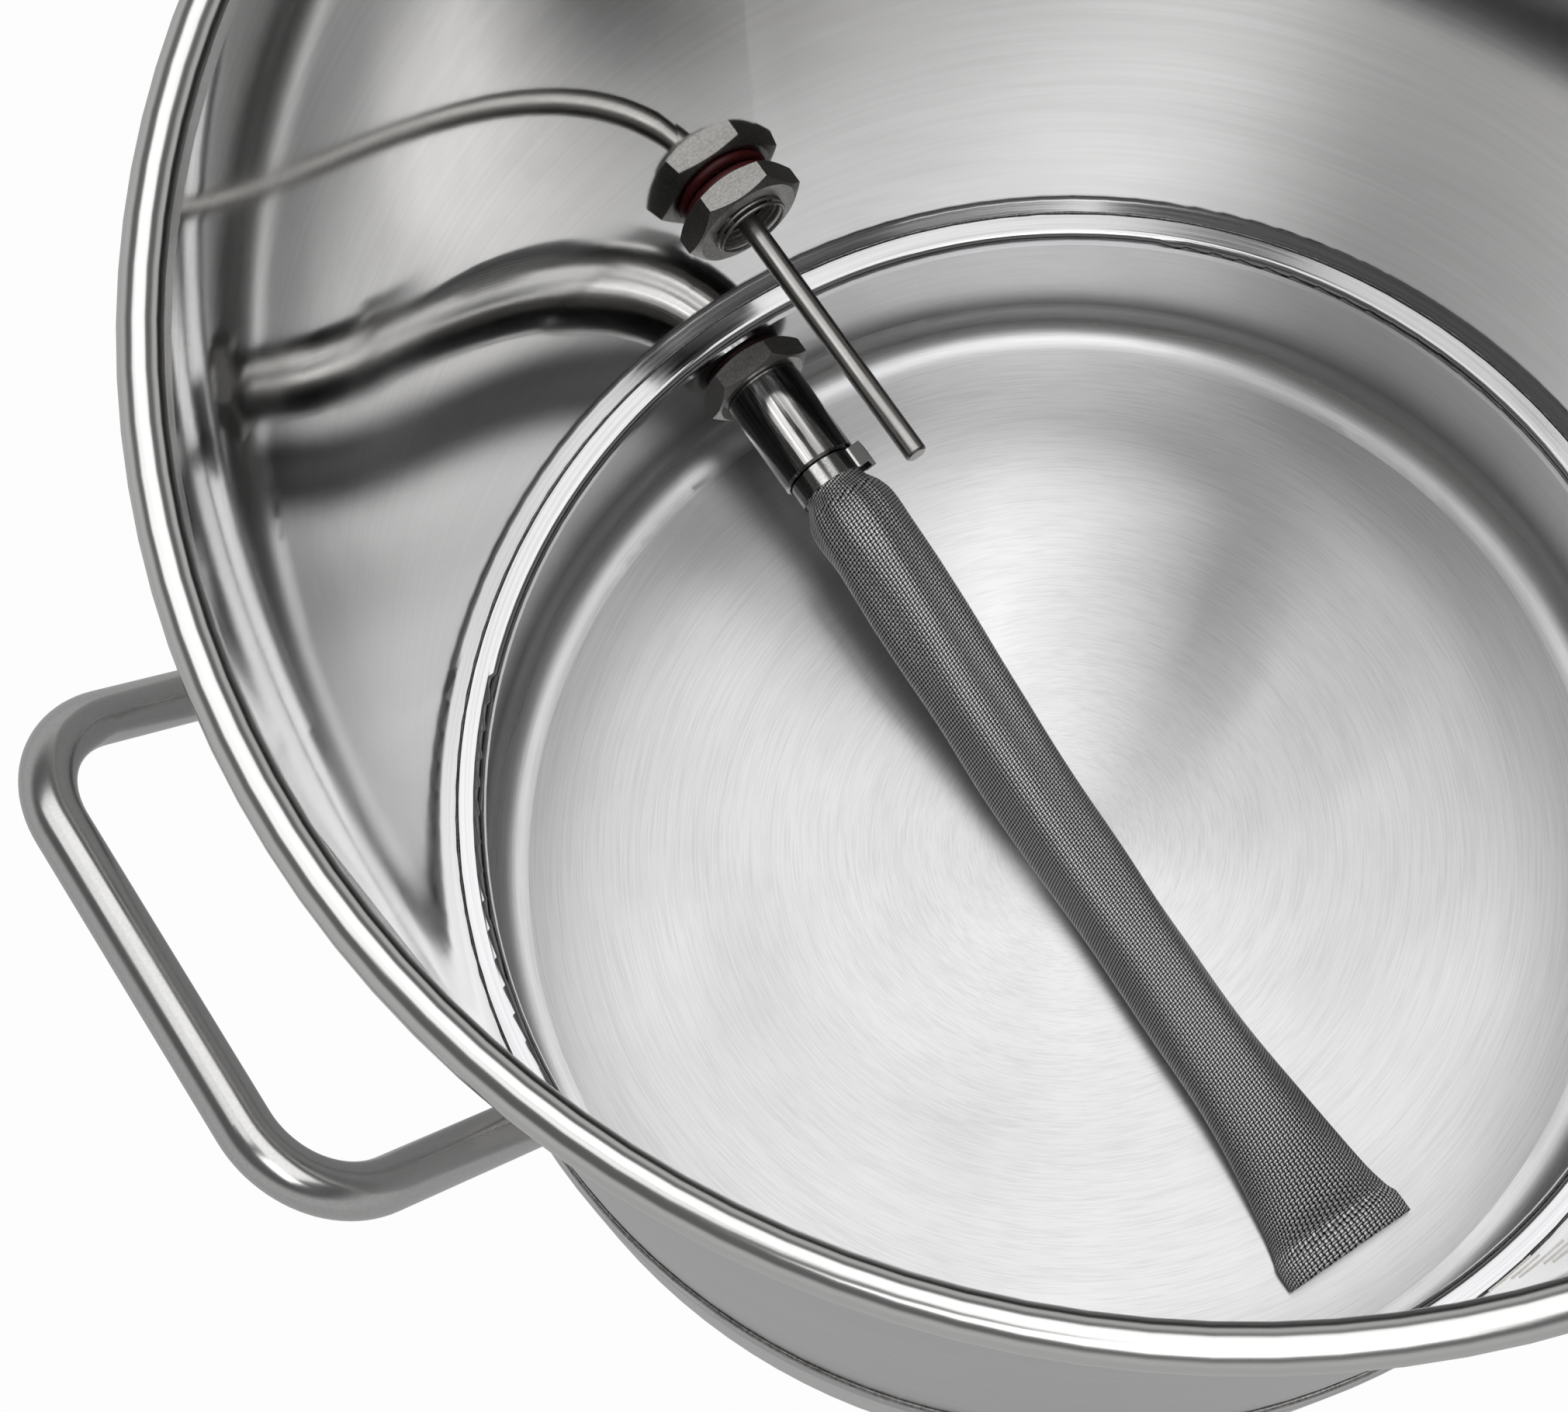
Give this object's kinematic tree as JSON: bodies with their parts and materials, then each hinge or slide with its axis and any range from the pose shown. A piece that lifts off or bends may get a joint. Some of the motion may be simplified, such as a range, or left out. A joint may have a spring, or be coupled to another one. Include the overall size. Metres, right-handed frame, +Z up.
{
  "type": "brew kettle",
  "caption": "Stepped stainless brew kettle with loop handles, a drain ball valve, a mesh strainer and a dial thermometer.",
  "frame": {"origin": "centre of the kettle's base, on its underside", "axes": "+Z up along the kettle's axis; the valve and the thermometer face -Y; the handles are on +X and -X"},
  "size_m": [0.4438, 0.4394, 0.4314],
  "materials": {
    "pan_steel": "brushed in circles",
    "wall_steel": "satin polish",
    "handle_steel": "satin",
    "cast_steel": "cast, dull",
    "red_silicone": "matte",
    "machined_steel": "machined",
    "valve_steel": "cast, satin",
    "polished_steel": "polished",
    "white_ptfe": "smooth",
    "black_vinyl": "dipped",
    "bimetal_strip": "plain",
    "dial_enamel": "printed scale",
    "pointer_paint": "satin",
    "lens_glass": "clear",
    "woven_screen": "braided wire"
  },
  "bodies": {
    "kettle": {"lower_pan": "pan_steel", "pan_ledge": "wall_steel", "upper_wall": "wall_steel", "handle_right": "handle_steel", "handle_left": "handle_steel", "handle_pads_right": "handle_steel", "handle_pads_left": "handle_steel", "thermo_lock_nut": "cast_steel", "thermo_seal_ring": "red_silicone", "thermo_washer": "machined_steel", "thermo_boss": "machined_steel", "thermo_stem": "machined_steel", "thermo_bimetal_coil": "bimetal_strip", "thermo_case": "polished_steel", "thermo_dial": "dial_enamel", "thermo_lens": "lens_glass", "thermo_bezel": "polished_steel", "drain_lock_nut": "cast_steel", "drain_seal_ring": "red_silicone", "drain_washer": "machined_steel", "drain_nipple": "machined_steel", "valve_end_cap": "valve_steel", "valve_body": "valve_steel", "valve_seat_inlet": "white_ptfe", "valve_seat_outlet": "white_ptfe", "valve_packing": "white_ptfe", "valve_packing_nut": "machined_steel", "strainer_sleeve": "polished_steel", "strainer_ear_clamp": "polished_steel", "strainer_screen": "woven_screen"},
    "valve_handle": {"valve_lever": "machined_steel", "valve_lever_nut": "machined_steel", "valve_grip": "black_vinyl", "valve_stem": "machined_steel", "valve_ball": "polished_steel"},
    "pointer": {"thermo_pointer": "pointer_paint", "thermo_spindle": "machined_steel"}
  },
  "joints": [
    {"name": "valve_turn", "type": "hinge", "parent": "kettle", "child": "valve_handle", "pos_m": [0, -0.21925, 0.0402], "axis": [0, 0, 1], "range_deg": [0, 90]},
    {"name": "pointer_turn", "type": "hinge", "parent": "kettle", "child": "pointer", "pos_m": [0, -0.2, 0.1612], "axis": [0, 1, 0], "range_deg": [-45, 225]}
  ]
}
